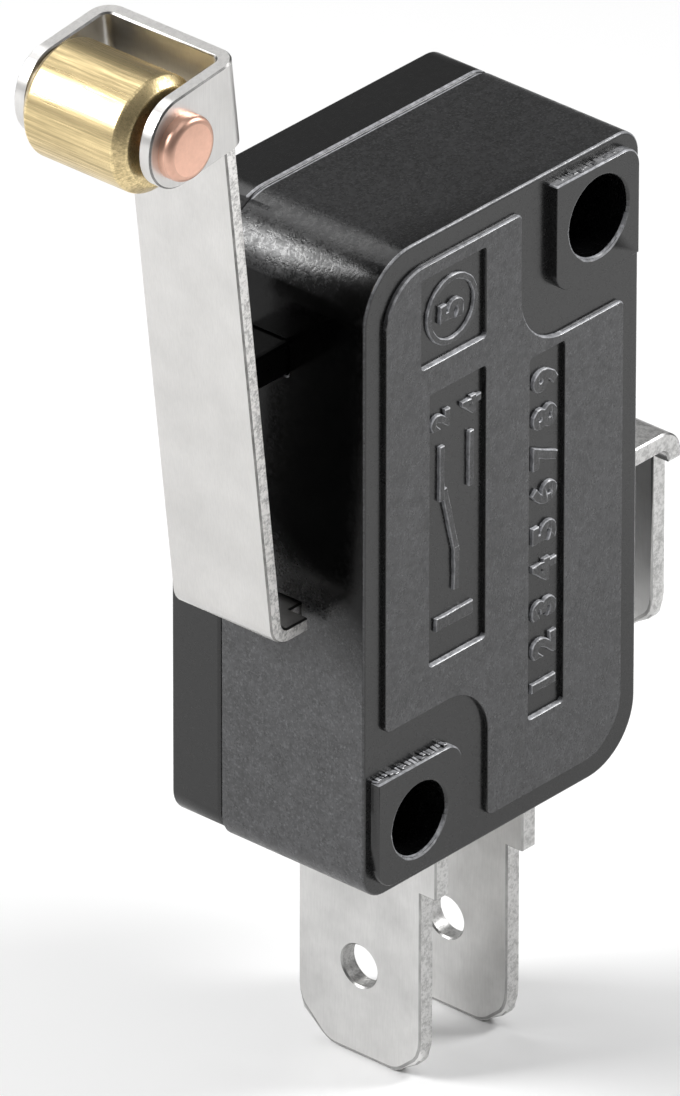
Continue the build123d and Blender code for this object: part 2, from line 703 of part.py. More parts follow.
def roller():
    """Turned brass roller with chamfered ends and a running bore."""
    length = head_width - 2 * lever_sheet - 2 * roller_side_clearance
    solid = rod_y(middle - length / 2, middle + length / 2, roller_axis.X, roller_axis.Z, roller_diameter / 2)
    solid = chamfer(solid.edges().filter_by(GeomType.CIRCLE), roller_chamfer)
    bore = roller_pin_diameter / 2 + roller_bore_clearance
    return solid - rod_y(middle - length, middle + length, roller_axis.X, roller_axis.Z, bore)


def roller_pin():
    """Solid rivet through both ears: wide head in front, smaller closed end behind."""
    near = middle - head_width / 2
    far = middle + head_width / 2
    x, z = roller_axis.X, roller_axis.Z
    head = rod_y(near - roller_pin_head_height, near, x, z, roller_pin_head_diameter / 2)
    head = chamfer(head.edges().filter_by(GeomType.CIRCLE).sort_by(Axis.Y)[0], roller_pin_chamfer)
    tail = rod_y(far, far + roller_pin_tail_height, x, z, roller_pin_tail_diameter / 2)
    tail = chamfer(tail.edges().filter_by(GeomType.CIRCLE).sort_by(Axis.Y)[-1], roller_pin_chamfer)
    return head + tail + rod_y(near, far, x, z, roller_pin_diameter / 2)


pieces = {
    "case": case(),
    "cover": cover(),
    "plunger": plunger(),
    "roller_lever": roller_lever(),
    "roller": roller(),
    "roller_pin": roller_pin(),
    "common_terminal": common_terminal(),
    "normally_closed_terminal": straight_terminal(first_blade),
    "normally_open_terminal": straight_terminal(second_blade),
    "normally_closed_contact": fixed_contact(first_blade, 1),
    "normally_open_contact": fixed_contact(second_blade, -1),
    "moving_contact": moving_contact(),
    "contact_arm": contact_arm(),
    "trip_lever": trip_lever(),
    "snap_spring": snap_spring(),
    "pivot_bracket": pivot_bracket(),
    "bracket_rivets": bracket_rivets(),
}

os.makedirs("parts", exist_ok=True)
for name, piece in pieces.items():
    export_step(piece, f"parts/{name}.step")
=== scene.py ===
"""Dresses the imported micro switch: mouldings with eased edges, satin sheet metal, a drawn brass
roller on a copper rivet, raised marks in the sunk fields, and a pale studio.

Shapes are drawn in millimetres, in the part's own frame, and written to their meshes in metres."""

import json
import math
import random

import bmesh
import bpy
from bpy.props import FloatProperty, FloatVectorProperty, IntProperty, PointerProperty
from mathutils import Matrix, Vector, noise as field_noise


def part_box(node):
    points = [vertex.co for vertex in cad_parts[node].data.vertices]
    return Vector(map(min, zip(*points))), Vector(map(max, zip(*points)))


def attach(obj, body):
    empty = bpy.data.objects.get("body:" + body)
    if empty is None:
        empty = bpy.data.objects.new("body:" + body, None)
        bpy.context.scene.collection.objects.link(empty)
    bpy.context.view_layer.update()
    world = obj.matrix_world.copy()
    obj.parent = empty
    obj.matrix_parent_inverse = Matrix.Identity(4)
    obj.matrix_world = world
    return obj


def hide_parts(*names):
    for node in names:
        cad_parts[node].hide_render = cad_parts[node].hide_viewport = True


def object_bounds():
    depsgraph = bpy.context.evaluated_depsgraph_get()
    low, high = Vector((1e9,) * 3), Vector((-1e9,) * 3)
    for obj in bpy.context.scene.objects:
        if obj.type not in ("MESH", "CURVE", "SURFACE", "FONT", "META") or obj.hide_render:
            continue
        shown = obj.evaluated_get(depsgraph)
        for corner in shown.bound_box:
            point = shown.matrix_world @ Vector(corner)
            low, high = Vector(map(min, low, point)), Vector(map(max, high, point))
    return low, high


bl_info = {
    "name": "Micro switch looks",
    "version": (1, 0, 0),
    "blender": (4, 5, 0),
    "location": "View3D > Sidebar > Micro Switch",
    "description": "Mouldings, sheet metal, roller, marks and studio for the micro switch",
    "category": "Object",
}

MM = 0.001

# Attributes that the materials read: three on faces, SHADE on points
# EDGE marks the eased strips and carries their tone: rubbed wear, painted highlight where they face up,
# painted shade on the lever
EDGE = "eased_edge_wear_and_painted_light"
POLISH = "polished_mould"
CUT = "cut_edge"
# SHADE is painted shade: it darkens the case where the lever's shadow falls
SHADE = "painted_shade_under_lever"

# Limits of the mesh work: weld distance, least angle of a sharp edge, and what counts as a broad flat face
WELD = 0.0005
SHARP = math.radians(32)
FLAT = 0.9995

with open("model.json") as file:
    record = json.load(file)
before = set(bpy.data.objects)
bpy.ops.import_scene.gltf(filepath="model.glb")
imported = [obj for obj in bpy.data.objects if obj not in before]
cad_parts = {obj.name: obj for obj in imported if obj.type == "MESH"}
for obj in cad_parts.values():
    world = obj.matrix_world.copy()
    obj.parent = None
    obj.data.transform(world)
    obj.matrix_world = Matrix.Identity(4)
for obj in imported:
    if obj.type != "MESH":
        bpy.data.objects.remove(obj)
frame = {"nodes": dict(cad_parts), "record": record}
cad_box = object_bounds()


def box_mm(node):
    """Lowest and highest corner of a CAD node, in millimetres."""
    low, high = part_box(node)
    return low / MM, high / MM


# Housing: pads at the holes, raised panel with sunk fields, and the large round at the top
case_low, case_high = box_mm("case")
cover_low, cover_high = box_mm("cover")
PAD_HEIGHT = 0.42
PAD_INSET = Vector((0.42, 0.0, 0.54))
PAD_SIZE = Vector((4.85, 0.0, 4.75))
PANEL_HEIGHT = 0.2
FIELDS_ACROSS = (3.0, 11.5)
FIELDS_UP = (4.2, 26.2)
HOLES = ((0.0, 0.0), (10.3, 22.2))
HOLE_REACH = 1.9
LARGE_ROUND = 2.7
HALF_BODY = Vector((7.95, 4.85, 13.9))
front_face = case_low.y + PAD_HEIGHT
body_left = case_low.x
body_bottom = case_low.z
top_round = Vector((case_low.x + LARGE_ROUND, 0, case_high.z - LARGE_ROUND))

# Painted shade behind the lever, where its shadow falls on the case: its direction on the side, where it
# starts and is full, and where the large round is cut for it, as shares of the case's depth from the front
SHADE_ACROSS = Vector((0.0, -0.55, 0.83))
SHADE_START = Vector((body_left, front_face, body_bottom + 9.0))
SHADE_REACH = 3.0
ROUND_CUTS = (0.15, 0.3, 0.45, 0.6, 0.75)

# Lever: directions up the strip and out from it, then the strip's and the head's sizes
STRIP_LEAN = math.radians(6.8)
STRIP_UP = Vector((-math.sin(STRIP_LEAN), 0, math.cos(STRIP_LEAN)))
STRIP_OUT = Vector((-math.cos(STRIP_LEAN), 0, -math.sin(STRIP_LEAN)))
STRIP_TO_AXIS = 3.4
STRIP_HALF = 2.55
STRIP_TOP = 2.1
SHEET = 0.6
SOLID_EAR = 2.025
# How far out from the case the lever's foot reaches, which takes painted shade
FOOT_OUT = 1.6

# Tabs: width, and how far a corner of the tip is cut across and up, in the solid and on the real tab
TAB_WIDTH = 6.3
SOLID_CUT = (1.2, 1.7)
FRONT_CUT = (1.15, 0.95)
BACK_CUT = (1.45, 1.35)

# Raised marks: digit, size and place across and up the body, then the lines of the contact symbol
SYMBOL_DIGITS = (("1", 2.7, 5.2, 10.7), ("2", 1.35, 4.3, 19.6), ("4", 1.35, 6.1, 19.6))
SYMBOL_LINES = (((5.2, 12.0), (5.2, 13.6)), ((5.2, 13.6), (4.5, 16.4)),
                ((4.35, 16.2), (4.35, 18.3)), ((6.05, 16.2), (6.05, 18.3)))
LINE_WIDTH = 0.30
ROW_DIGIT, ROW_ACROSS, ROW_START, ROW_PITCH = 1.75, 10.4, 5.5, 1.68
RING_PLACE = (4.95, 24.2)
RING_RADIUS, RING_LINE, RING_DIGIT = 1.35, 0.13, 1.7


def roller_axis():
    """Middle of the roller."""
    low, high = box_mm("roller")
    return (low + high) / 2


class SwitchSizes(bpy.types.PropertyGroup):
    """Small sizes that only the looks need."""

    housing_edge: FloatProperty(name="Housing edge", default=0.065 * MM, unit="LENGTH", precision=6,
                                description="Width of the mouldings' edges that face up")
    crisp_edge: FloatProperty(name="Crisp edge", description="Width of the mouldings' other edges",
                              default=0.025 * MM, unit="LENGTH", precision=6)
    sheet_edge: FloatProperty(name="Sheet edge", description="Width of the eased edges of the sheet metal",
                              default=0.07 * MM, unit="LENGTH", precision=6)
    turned_edge: FloatProperty(name="Turned edge", description="Rounding at the rims of turned pieces",
                               default=0.08 * MM, unit="LENGTH", precision=6)
    pin_round: FloatProperty(name="Rivet rounding", description="Rounding at the rim of the rivet's heads",
                             default=0.28 * MM, unit="LENGTH", precision=6)
    mark_height: FloatProperty(name="Mark height", default=0.15 * MM, unit="LENGTH", precision=6,
                               description="Height of the raised marks over their field")
    mark_wander: FloatProperty(name="Mark wander", description="How far the edges of the marks stray",
                               default=0.035 * MM, unit="LENGTH", precision=6)
    near_ear: FloatProperty(name="Near ear", default=0.27 * MM, unit="LENGTH", precision=6,
                            description="How far the lever's near ear stands out past the solid's")
    far_ear: FloatProperty(name="Far ear", default=0.55 * MM, unit="LENGTH", precision=6,
                           description="How far the lever's far ear stands out past the solid's")
    ear_round: FloatProperty(name="Ear rounding", description="Radius of the ears' ends", default=1.75 * MM,
                             unit="LENGTH", precision=6)
    rivet_head: FloatProperty(name="Rivet head", description="Diameter of the rivet's wide head",
                              default=2.66 * MM, unit="LENGTH", precision=6)
    tip_round: FloatProperty(name="Tip rounding", description="Rounding of the corners of the tabs' tips",
                             default=0.35 * MM, unit="LENGTH", precision=6)
    turned_steps: IntProperty(name="Turned steps", description="Facets round a turned piece",
                              default=96, min=24, max=256)


class SwitchColours(bpy.types.PropertyGroup):
    """Base colours of the finishes."""

    plastic: FloatVectorProperty(name="Housing plastic", description="Charcoal black moulding compound",
                                 default=(0.040, 0.0405, 0.0425), subtype="COLOR", min=0, max=1)
    plunger: FloatVectorProperty(name="Plunger plastic", description="Smooth black plastic of the plunger",
                                 default=(0.004, 0.004, 0.0042), subtype="COLOR", min=0, max=1)
    steel: FloatVectorProperty(name="Lever steel", description="Satin stainless sheet",
                               default=(0.70, 0.69, 0.675), subtype="COLOR", min=0, max=1)
    tin: FloatVectorProperty(name="Tinned tabs", description="Dull plating of the terminals",
                             default=(0.73, 0.725, 0.715), subtype="COLOR", min=0, max=1)
    brass: FloatVectorProperty(name="Roller brass", description="Drawn yellow brass",
                               default=(0.84, 0.67, 0.365), subtype="COLOR", min=0, max=1)
    copper: FloatVectorProperty(name="Rivet copper", description="Pale copper of the roller's rivet",
                                default=(0.90, 0.55, 0.42), subtype="COLOR", min=0, max=1)
    silver: FloatVectorProperty(name="Contact silver", description="Satin silver of the contacts",
                                default=(0.86, 0.85, 0.83), subtype="COLOR", min=0, max=1)
    bronze: FloatVectorProperty(name="Spring bronze", description="Rolled bronze of the mechanism",
                                default=(0.72, 0.50, 0.27), subtype="COLOR", min=0, max=1)
    wire: FloatVectorProperty(name="Spring wire", description="Drawn wire of the snap spring",
                              default=(0.60, 0.60, 0.59), subtype="COLOR", min=0, max=1)


class SwitchStudio(bpy.types.PropertyGroup):
    """Camera and light."""

    azimuth: FloatProperty(name="Camera azimuth", default=math.radians(48.48), subtype="ANGLE",
                           description="Turn of the camera from the front to the lever side")
    elevation: FloatProperty(name="Camera elevation", description="Height of the camera over the horizon",
                             default=math.radians(29.30), subtype="ANGLE")
    roll: FloatProperty(name="Camera roll", description="Turn of the picture",
                        default=math.radians(0.07), subtype="ANGLE")
    distance: FloatProperty(name="Camera distance", description="From the middle of the housing",
                            default=938.2 * MM, unit="LENGTH")
    aim_right: FloatProperty(name="Aim right", description="Shift of the aim across the picture",
                             default=-2.564 * MM, unit="LENGTH", precision=6)
    aim_up: FloatProperty(name="Aim up", description="Shift of the aim up the picture",
                          default=-2.85 * MM, unit="LENGTH", precision=6)
    lens: FloatProperty(name="Lens", default=800, min=50, description="Focal length, in millimetres")
    sky: FloatProperty(name="Sky", default=0.22, min=0, description="Strength of the plain light all round")


# Shaders


def group_tree(name, inputs, outputs):
    """Empty shader group with named sockets; returns the tree and its two ends."""
    tree = bpy.data.node_groups.new(name, "ShaderNodeTree")
    for label, kind, default in inputs:
        made = tree.interface.new_socket(name=label, in_out="INPUT", socket_type=kind)
        if default is not None:
            made.default_value = default
    for label, kind in outputs:
        tree.interface.new_socket(name=label, in_out="OUTPUT", socket_type=kind)
    return tree, tree.nodes.new("NodeGroupInput"), tree.nodes.new("NodeGroupOutput")


def noise(tree, vector, scale, detail=3.0, roughness=0.55):
    """Noise texture on a vector; scale may be a number or a socket."""
    node = tree.nodes.new("ShaderNodeTexNoise")
    node.inputs["Detail"].default_value = detail
    node.inputs["Roughness"].default_value = roughness
    tree.links.new(vector, node.inputs["Vector"])
    if isinstance(scale, (int, float)):
        node.inputs["Scale"].default_value = scale
    else:
        tree.links.new(scale, node.inputs["Scale"])
    return node.outputs["Fac"]


def remap(tree, value, low, high, to_low, to_high):
    """Clamped change of range."""
    node = tree.nodes.new("ShaderNodeMapRange")
    for label, number in (("From Min", low), ("From Max", high), ("To Min", to_low), ("To Max", to_high)):
        if isinstance(number, (int, float)):
            node.inputs[label].default_value = number
        else:
            tree.links.new(number, node.inputs[label])
    tree.links.new(value, node.inputs["Value"])
    return node.outputs["Result"]


def maths(tree, operation, a, b):
    """One sum or product of two values."""
    node = tree.nodes.new("ShaderNodeMath")
    node.operation = operation
    for socket, value in zip(node.inputs, (a, b)):
        if isinstance(value, (int, float)):
            socket.default_value = value
        else:
            tree.links.new(value, socket)
    return node.outputs[0]


def mix_colour(tree, factor, a, b, blend="MIX"):
    """Blend of two colours."""
    node = tree.nodes.new("ShaderNodeMix")
    node.data_type = "RGBA"
    node.blend_type = blend
    colours = [s for s in node.inputs if s.type == "RGBA"]
    for socket, value in ((node.inputs["Factor"], factor), (colours[0], a), (colours[1], b)):
        if isinstance(value, (int, float, tuple)):
            socket.default_value = value
        else:
            tree.links.new(value, socket)
    return next(s for s in node.outputs if s.type == "RGBA")


def attribute(tree, name):
    """Value that a mesh carries for its materials."""
    node = tree.nodes.new("ShaderNodeAttribute")
    node.attribute_name = name
    return node.outputs["Fac"]


def grain_group():
    """Fine pitted or granular relief of a surface."""
    tree, start, end = group_tree(
        "surface_grain",
        [("Place", "NodeSocketVector", None), ("Grains per mm", "NodeSocketFloat", 8.0)],
        [("Height", "NodeSocketFloat"), ("Speck", "NodeSocketFloat")])
    fine = noise(tree, start.outputs["Place"], start.outputs["Grains per mm"], detail=2.0, roughness=0.7)
    half = maths(tree, "MULTIPLY", start.outputs["Grains per mm"], 0.37)
    broad = noise(tree, start.outputs["Place"], half, detail=1.0)
    height = maths(tree, "ADD", maths(tree, "MULTIPLY", fine, 0.7), maths(tree, "MULTIPLY", broad, 0.5))
    tree.links.new(height, end.inputs["Height"])
    tree.links.new(remap(tree, fine, 0.56, 0.74, 0.0, 1.0), end.inputs["Speck"])
    return tree


def cloud_group():
    """Slow change of tone over a surface, as plating, oil or handling leaves."""
    tree, start, end = group_tree(
        "cloudy_tone",
        [("Place", "NodeSocketVector", None), ("Colour", "NodeSocketColor", (0.5, 0.5, 0.5, 1.0)),
         ("Clouds per mm", "NodeSocketFloat", 0.4), ("Darkest", "NodeSocketFloat", 0.85),
         ("Lightest", "NodeSocketFloat", 1.1)],
        [("Colour", "NodeSocketColor")])
    cloud = noise(tree, start.outputs["Place"], start.outputs["Clouds per mm"], detail=4.0, roughness=0.6)
    tone = remap(tree, cloud, 0.3, 0.7, start.outputs["Darkest"], start.outputs["Lightest"])
    grey = tree.nodes.new("ShaderNodeCombineColor")
    for socket in grey.inputs:
        tree.links.new(tone, socket)
    toned = mix_colour(tree, 1.0, start.outputs["Colour"], grey.outputs[0], "MULTIPLY")
    tree.links.new(toned, end.inputs["Colour"])
    return tree


def edge_group():
    """Stretches of their own tone along the eased edges of a piece: rubbed wear, painted highlight where
    faces turn up, and painted shade on the lever.
    """
    tree, start, end = group_tree(
        "edge_wear_and_painted_light",
        [("Place", "NodeSocketVector", None), ("Colour", "NodeSocketColor", (0.5, 0.5, 0.5, 1.0)),
         ("Rubbed colour", "NodeSocketColor", (0.8, 0.8, 0.8, 1.0)), ("Amount", "NodeSocketFloat", 0.5),
         ("Breaks per mm", "NodeSocketFloat", 2.0), ("Least", "NodeSocketFloat", 0.3)],
        [("Colour", "NodeSocketColor")])
    edge = attribute(tree, EDGE)
    broken = noise(tree, start.outputs["Place"], start.outputs["Breaks per mm"], detail=3.0, roughness=0.65)
    rubbed = remap(tree, broken, 0.38, 0.62, start.outputs["Least"], 1.0)
    rubbed = maths(tree, "MULTIPLY", edge, rubbed)
    rubbed = maths(tree, "MULTIPLY", rubbed, start.outputs["Amount"])
    tree.links.new(mix_colour(tree, rubbed, start.outputs["Colour"], start.outputs["Rubbed colour"]),
                   end.inputs["Colour"])
    return tree


def streak_group():
    """Long fine lines left by rolling, drawing or grinding."""
    tree, start, end = group_tree(
        "drawn_streaks",
        [("Place", "NodeSocketVector", None), ("Squeeze", "NodeSocketVector", (1.0, 1.0, 1.0)),
         ("Lines per mm", "NodeSocketFloat", 6.0)],
        [("Height", "NodeSocketFloat"), ("Streak", "NodeSocketFloat")])
    squeeze = tree.nodes.new("ShaderNodeVectorMath")
    squeeze.operation = "MULTIPLY"
    tree.links.new(start.outputs["Place"], squeeze.inputs[0])
    tree.links.new(start.outputs["Squeeze"], squeeze.inputs[1])
    lines = noise(tree, squeeze.outputs[0], start.outputs["Lines per mm"], detail=4.0, roughness=0.7)
    tree.links.new(lines, end.inputs["Height"])
    tree.links.new(remap(tree, lines, 0.35, 0.65, 0.0, 1.0), end.inputs["Streak"])
    return tree


SHARED_GROUPS = {}


def shared(tree, name, **inputs):
    """One of the shared groups placed in a material, with its values set or linked."""
    makers = {"grain": grain_group, "cloud": cloud_group, "edge": edge_group, "streak": streak_group}
    if name not in SHARED_GROUPS:
        SHARED_GROUPS[name] = makers[name]()
    node = tree.nodes.new("ShaderNodeGroup")
    node.node_tree = SHARED_GROUPS[name]
    for label, value in inputs.items():
        socket = node.inputs[label.replace("_", " ")]
        if isinstance(value, bpy.types.NodeSocket):
            tree.links.new(value, socket)
        else:
            socket.default_value = value
    return node.outputs


def material_start(name):
    """New node material: its tree, its Principled shader and the place in millimetres."""
    material = bpy.data.materials.new(f"{name}_finish")
    material.use_nodes = True
    tree = material.node_tree
    shader = tree.nodes["Principled BSDF"]
    where = tree.nodes.new("ShaderNodeTexCoord")
    scale = tree.nodes.new("ShaderNodeMapping")
    scale.inputs["Scale"].default_value = (1 / MM, 1 / MM, 1 / MM)
    tree.links.new(where.outputs["Object"], scale.inputs["Vector"])
    return material, tree, shader, scale.outputs["Vector"]


def add_bump(tree, shader, height, depth):
    """Relief of a given depth, in metres, on the shader's normal."""
    bump = tree.nodes.new("ShaderNodeBump")
    bump.inputs["Distance"].default_value = depth
    tree.links.new(height, bump.inputs["Height"])
    tree.links.new(bump.outputs["Normal"], shader.inputs["Normal"])


def rgba(colour, lighter=1.0):
    """Colour property as four numbers, lightened if asked."""
    return tuple(min(1.0, c * lighter) for c in colour) + (1.0,)


def moulded_plastic(name, colour, grains, depth, smooth_rough, grained_rough, gloss=0.62):
    """Black thermoset: grained and greyer where the mould was etched, dark and smoother where polished.

    Where SHADE rises, behind the lever, painted shade turns it darker and smoother still and lets it reflect
    less."""
    material, tree, shader, place = material_start(name)
    shader.inputs["Specular IOR Level"].default_value = gloss
    polish = attribute(tree, POLISH)
    shade = attribute(tree, SHADE)

    # Painted shade: SHADE darkens the base colour as polish does
    smooth = maths(tree, "MAXIMUM", remap(tree, polish, 0.0, 0.8, 0.0, 1.0), shade)
    base = mix_colour(tree, smooth, rgba(colour), rgba(colour, 0.06))
    slow = shared(tree, "cloud", Place=place, Colour=base, Clouds_per_mm=0.7, Darkest=0.8, Lightest=1.2)
    tone = shared(tree, "cloud", Place=place, Colour=slow["Colour"], Clouds_per_mm=4.5, Darkest=0.55,
                  Lightest=1.5)
    # Edge tone: rubbed wear, with painted highlight where the mesh raises it on faces turned up
    edge = shared(tree, "edge", Place=place, Colour=tone["Colour"], Rubbed_colour=rgba(colour, 18.0),
                  Amount=0.9, Breaks_per_mm=3.0, Least=0.5)
    grain = shared(tree, "grain", Place=place, Grains_per_mm=grains)
    pitted = maths(tree, "SUBTRACT", 1.0, smooth)
    speck = maths(tree, "MULTIPLY", grain["Speck"], maths(tree, "MULTIPLY", pitted, 0.6))
    tree.links.new(mix_colour(tree, speck, edge["Colour"], rgba(colour, 4.0)), shader.inputs["Base Color"])

    uneven = remap(tree, polish, 0.8, 1.0, 1.0, 0.3)
    uneven = remap(tree, grain["Height"], 0.45, 0.75, maths(tree, "MULTIPLY", uneven, -0.09),
                   maths(tree, "MULTIPLY", uneven, 0.16))
    rough = maths(tree, "ADD", remap(tree, polish, 0.0, 1.0, grained_rough, smooth_rough), uneven)
    rough = maths(tree, "MULTIPLY", rough, remap(tree, shade, 0.0, 1.0, 1.0, 0.5))
    tree.links.new(rough, shader.inputs["Roughness"])
    # Painted shade: SHADE turns the plastic partly metallic on a black base, so it reflects less
    tree.links.new(maths(tree, "MULTIPLY", shade, 0.75), shader.inputs["Metallic"])

    share = maths(tree, "MULTIPLY", remap(tree, polish, 0.8, 1.0, 1.0, 0.12),
                  remap(tree, shade, 0.0, 1.0, 1.0, 0.1))
    add_bump(tree, shader, maths(tree, "MULTIPLY", grain["Height"], share), depth)
    return material


def satin_metal(name, colour, squeeze, lines, low_rough, high_rough, depth, edge_light=1.15,
                cloud=(0.92, 1.05), line_shade=0.1, fresh_light=1.2, torn_light=0.55):
    """Metal with fine lines and a cloudy tone; its eased edges and punched sides have tones of their own."""
    material, tree, shader, place = material_start(name)
    shader.inputs["Metallic"].default_value = 1.0
    tone = shared(tree, "cloud", Place=place, Colour=rgba(colour), Clouds_per_mm=0.35,
                  Darkest=cloud[0], Lightest=cloud[1])
    edge = shared(tree, "edge", Place=place, Colour=tone["Colour"], Rubbed_colour=rgba(colour, edge_light),
                  Amount=0.95, Breaks_per_mm=1.2, Least=0.75)
    streak = shared(tree, "streak", Place=place, Squeeze=squeeze, Lines_per_mm=lines)
    shade = maths(tree, "MULTIPLY", streak["Streak"], line_shade)
    lined = mix_colour(tree, shade, edge["Colour"], rgba(colour, 0.45))
    cut = attribute(tree, CUT)
    grain = shared(tree, "grain", Place=place, Grains_per_mm=11.0)
    torn = maths(tree, "MULTIPLY", cut, remap(tree, grain["Height"], 0.52, 0.75, 0.0, 1.0))
    fresh = mix_colour(tree, cut, lined, rgba(colour, fresh_light))
    tree.links.new(mix_colour(tree, torn, fresh, rgba(colour, torn_light)), shader.inputs["Base Color"])
    rough = remap(tree, streak["Streak"], 0.0, 1.0, low_rough, high_rough)
    tree.links.new(maths(tree, "ADD", rough, maths(tree, "MULTIPLY", cut, 0.12)), shader.inputs["Roughness"])
    relief = maths(tree, "ADD", streak["Height"], maths(tree, "MULTIPLY", torn, 1.5))
    add_bump(tree, shader, relief, depth)
    return material


FINISHES = {}


def finish(name):
    """The material of one of the record's slots, made on first use."""
    if name not in FINISHES:
        FINISHES[name] = new_finish(name)
    return FINISHES[name]


def new_finish(name):
    """Makes the material of a slot."""
    tones = bpy.context.scene.switch_colours
    if name == "black_plastic":
        return moulded_plastic(name, tones.plastic, 9.0, 0.020 * MM, 0.24, 0.33)
    if name == "plunger_plastic":
        return moulded_plastic(name, tones.plunger, 5.0, 0.002 * MM, 0.30, 0.30, gloss=0.12)
    # Lever: its eased edges and its foot take a dark edge tone, painted shade
    if name == "lever_steel":
        return satin_metal(name, tones.steel, (9.0, 9.0, 0.35), 2.2, 0.30, 0.40, 0.0016 * MM,
                           edge_light=0.18, fresh_light=1.4, torn_light=0.75)
    if name == "tab_metal":
        return satin_metal(name, tones.tin, (1.0, 6.0, 0.6), 2.0, 0.28, 0.42, 0.0015 * MM, edge_light=0.4,
                           cloud=(0.82, 1.08), fresh_light=0.95, torn_light=0.6)
    if name == "roller_brass":
        return satin_metal(name, tones.brass, (7.0, 0.18, 7.0), 1.3, 0.24, 0.44, 0.007 * MM, edge_light=1.2,
                           cloud=(0.86, 1.06), line_shade=0.85)
    if name == "pin_copper":
        return satin_metal(name, tones.copper, (3.0, 3.0, 3.0), 1.5, 0.32, 0.42, 0.003 * MM, edge_light=0.8)
    if name == "contact_silver":
        return satin_metal(name, tones.silver, (3.0, 3.0, 3.0), 1.5, 0.24, 0.34, 0.001 * MM)
    if name == "spring_bronze":
        return satin_metal(name, tones.bronze, (6.0, 6.0, 0.4), 2.0, 0.28, 0.38, 0.001 * MM)
    if name == "spring_steel":
        return satin_metal(name, tones.wire, (4.0, 4.0, 4.0), 2.0, 0.26, 0.36, 0.001 * MM)
    raise ValueError(f"no finish is known for the slot {name}")


# Shapes


def placed(name, data):
    """New object in the scene, at the origin."""
    made = bpy.data.objects.new(name, data)
    bpy.context.scene.collection.objects.link(made)
    return made


def rounded(shape, edges, width, segments):
    """Bevels edges and returns the new faces."""
    made = bmesh.ops.bevel(shape, geom=edges, offset=width, offset_type="OFFSET", segments=segments,
                           profile=0.5, affect="EDGES", clamp_overlap=False, material=-1)
    return made["faces"]


def merged_copy(node):
    """Bmesh of a CAD node in millimetres, its loose triangles joined and flat ones dissolved."""
    shape = bmesh.new()
    shape.from_mesh(frame["nodes"][node].data)
    bmesh.ops.transform(shape, matrix=Matrix.Scale(1 / MM, 4), verts=shape.verts)
    bmesh.ops.remove_doubles(shape, verts=shape.verts, dist=WELD)
    bmesh.ops.dissolve_limit(shape, angle_limit=math.radians(0.6), verts=shape.verts, edges=shape.edges)
    return shape


def ease_edges(shape, width, wanted=None, segments=1):
    """Rounds the convex sharp edges that are wanted, apart from those of strips made before, and marks
    the new strips."""
    if EDGE not in shape.faces.layers.float.keys():
        shape.faces.layers.float.new(EDGE)
    layer = shape.faces.layers.float[EDGE]
    sharp = [e for e in shape.edges
             if len(e.link_faces) == 2 and e.is_convex and e.calc_face_angle() > SHARP
             and not any(f[layer] > 0 for f in e.link_faces) and (wanted is None or wanted(e))]
    made = rounded(shape, sharp, width, segments)
    layer = shape.faces.layers.float[EDGE]
    for face in made:
        face[layer] = 1.0


def as_piece(shape, name, slot, body, nodes=(), smooth_angle=math.radians(35)):
    """Writes a shape to a mesh in metres and gives it finish, body and the nodes it stands for.

    Broad faces square to the Y axis are shaded flat, so that no edge beside them tints them."""
    bmesh.ops.transform(shape, matrix=Matrix.Scale(MM, 4), verts=shape.verts)
    mesh = bpy.data.meshes.new(name)
    shape.to_mesh(mesh)
    shape.free()
    mesh.shade_smooth()
    for side in mesh.polygons:
        side.use_smooth = abs(side.normal.y) < FLAT
    mesh.set_sharp_from_angle(angle=smooth_angle)
    piece = placed(name, mesh)
    weighted = piece.modifiers.new("even_normals", "WEIGHTED_NORMAL")
    weighted.keep_sharp = True
    mesh.materials.clear()
    mesh.materials.append(finish(slot))
    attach(piece, body)
    if nodes:
        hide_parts(*nodes)
    return piece


def mark_cuts(shape, roughness):
    """Marks the punched sides of a sheet; roughness tells how rough a face is, from 0 to 1."""
    cut = shape.faces.layers.float.new(CUT)
    edge = shape.faces.layers.float[EDGE]
    for face in shape.faces:
        if face[edge] == 0:
            face[cut] = roughness(face)


def dress_node(node, slot):
    """Gives a CAD node that stays its finish."""
    mesh = frame["nodes"][node].data
    mesh.materials.clear()
    mesh.materials.append(finish(slot))


def turned(profile, centre, steps):
    """Ring or disc turned about the Y axis through a point; the profile is (along, radius)."""
    shape = bmesh.new()
    points = [shape.verts.new(Vector((centre.x + radius, centre.y + along, centre.z)))
              for along, radius in profile]
    edges = [shape.edges.new(pair) for pair in zip(points, points[1:])]
    if profile[0][1] > 0:
        edges.append(shape.edges.new((points[-1], points[0])))
    bmesh.ops.spin(shape, geom=points + edges, cent=centre, axis=(0, 1, 0), angle=2 * math.pi, steps=steps,
                   use_merge=True, use_duplicate=False)
    bmesh.ops.remove_doubles(shape, verts=shape.verts, dist=WELD)
    bmesh.ops.recalc_face_normals(shape, faces=shape.faces)
    return shape


